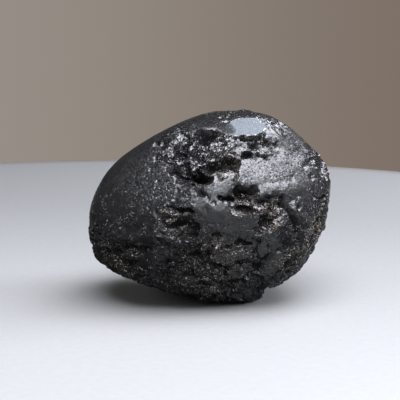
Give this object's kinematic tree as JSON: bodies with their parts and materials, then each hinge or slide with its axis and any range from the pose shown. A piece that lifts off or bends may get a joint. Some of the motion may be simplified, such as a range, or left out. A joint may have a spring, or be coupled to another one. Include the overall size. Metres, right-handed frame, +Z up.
{
  "type": "tektite",
  "caption": "Egg-shaped pebble of black natural glass with etched pits, gouges and struck facets, worn flat enough below to rest.",
  "frame": {"origin": "on the surface that the stone rests on, under the middle of its bounding box", "axes": "+X along the stone's length, towards its blunter, higher end; -Y out of its richest side; +Z up"},
  "size_m": [0.0544, 0.0426, 0.0428],
  "materials": {
    "natural_glass": "satin"
  },
  "bodies": {
    "root": {"tektite": "natural_glass"}
  },
  "joints": []
}
